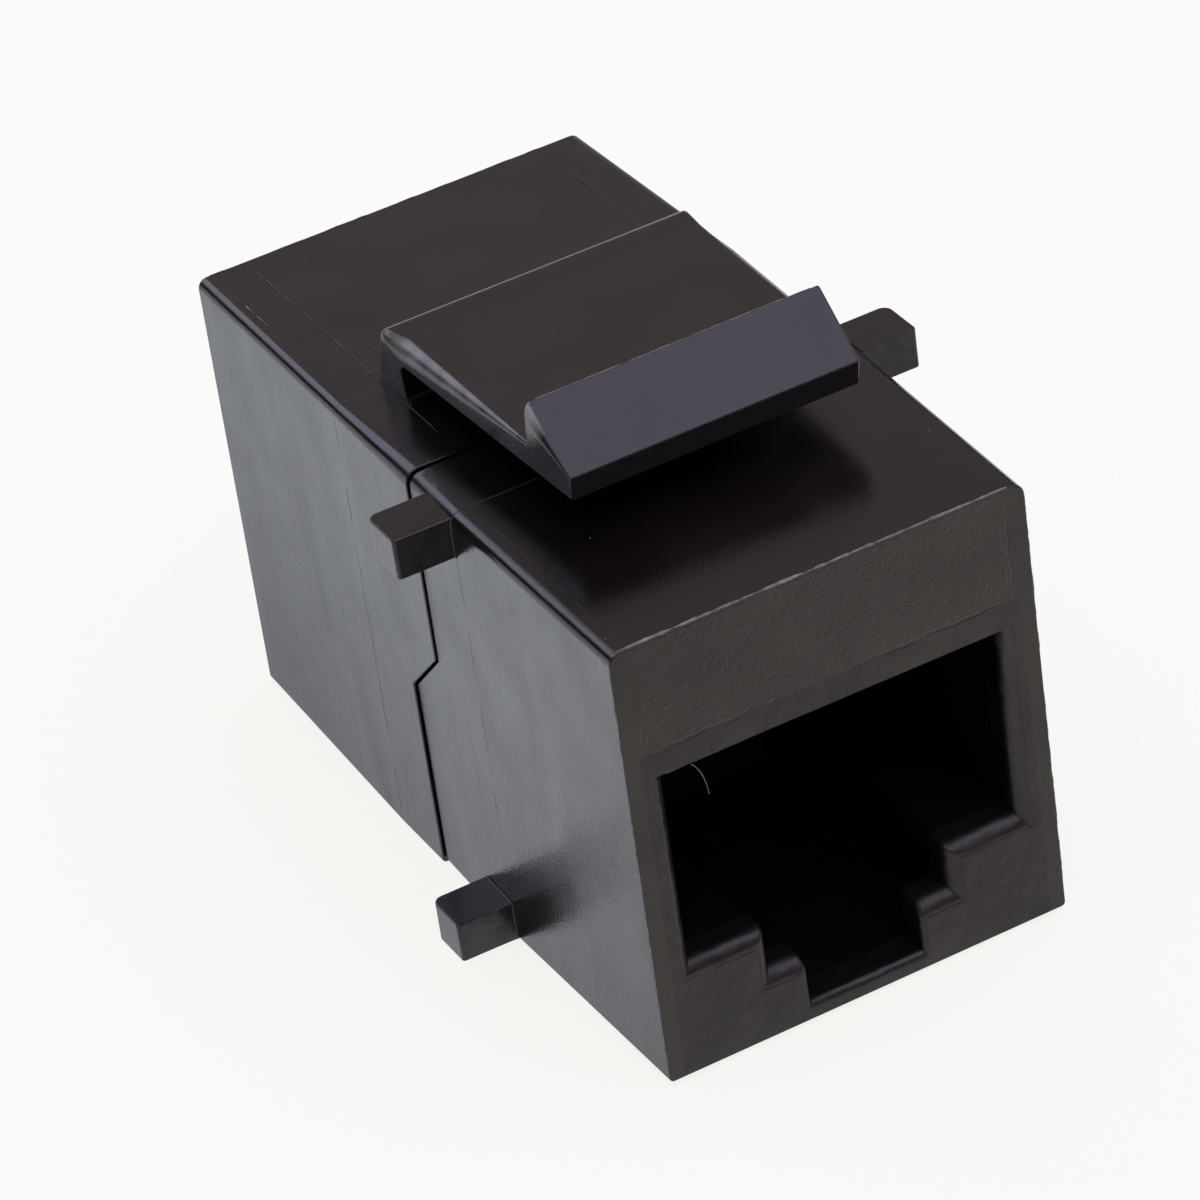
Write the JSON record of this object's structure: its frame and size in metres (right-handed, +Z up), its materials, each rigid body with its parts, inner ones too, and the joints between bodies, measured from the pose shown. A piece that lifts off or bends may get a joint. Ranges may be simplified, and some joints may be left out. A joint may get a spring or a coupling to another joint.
{
  "type": "panel mount coupler",
  "caption": "Moulded inline coupler that snaps into a panel, with a modular plug port at each end, side stop pegs and a springy latch with a ramped ridge.",
  "frame": {"origin": "bottom centre, on the surface that the coupler rests on", "axes": "+Y from the front port to the rear port, +X to the right seen from the front, +Z up, towards the latch"},
  "size_m": [0.0188, 0.0278, 0.0203],
  "materials": {
    "black_abs": "moulded, semi-gloss",
    "carrier_plastic": "moulded, satin",
    "board_laminate": "solder resist",
    "contact_gold": "gold-plated spring strip"
  },
  "bodies": {
    "housing": {"front_housing": "black_abs", "rear_housing": "black_abs", "front_contact_carrier": "carrier_plastic", "rear_contact_carrier": "carrier_plastic", "circuit_board": "board_laminate", "front_contact_1": "contact_gold", "front_contact_2": "contact_gold", "front_contact_3": "contact_gold", "front_contact_4": "contact_gold", "front_contact_5": "contact_gold", "front_contact_6": "contact_gold", "front_contact_7": "contact_gold", "front_contact_8": "contact_gold", "rear_contact_1": "contact_gold", "rear_contact_2": "contact_gold", "rear_contact_3": "contact_gold", "rear_contact_4": "contact_gold", "rear_contact_5": "contact_gold", "rear_contact_6": "contact_gold", "rear_contact_7": "contact_gold", "rear_contact_8": "contact_gold"},
    "latch": {"latch": "black_abs"}
  },
  "joints": [
    {"name": "latch_flex", "type": "hinge", "parent": "housing", "child": "latch", "pos_m": [0, 0.00222, 0.01827], "axis": [1, 0, 0], "range_deg": [0, 8], "stiffness_Nm_per_rad": 0.4}
  ]
}
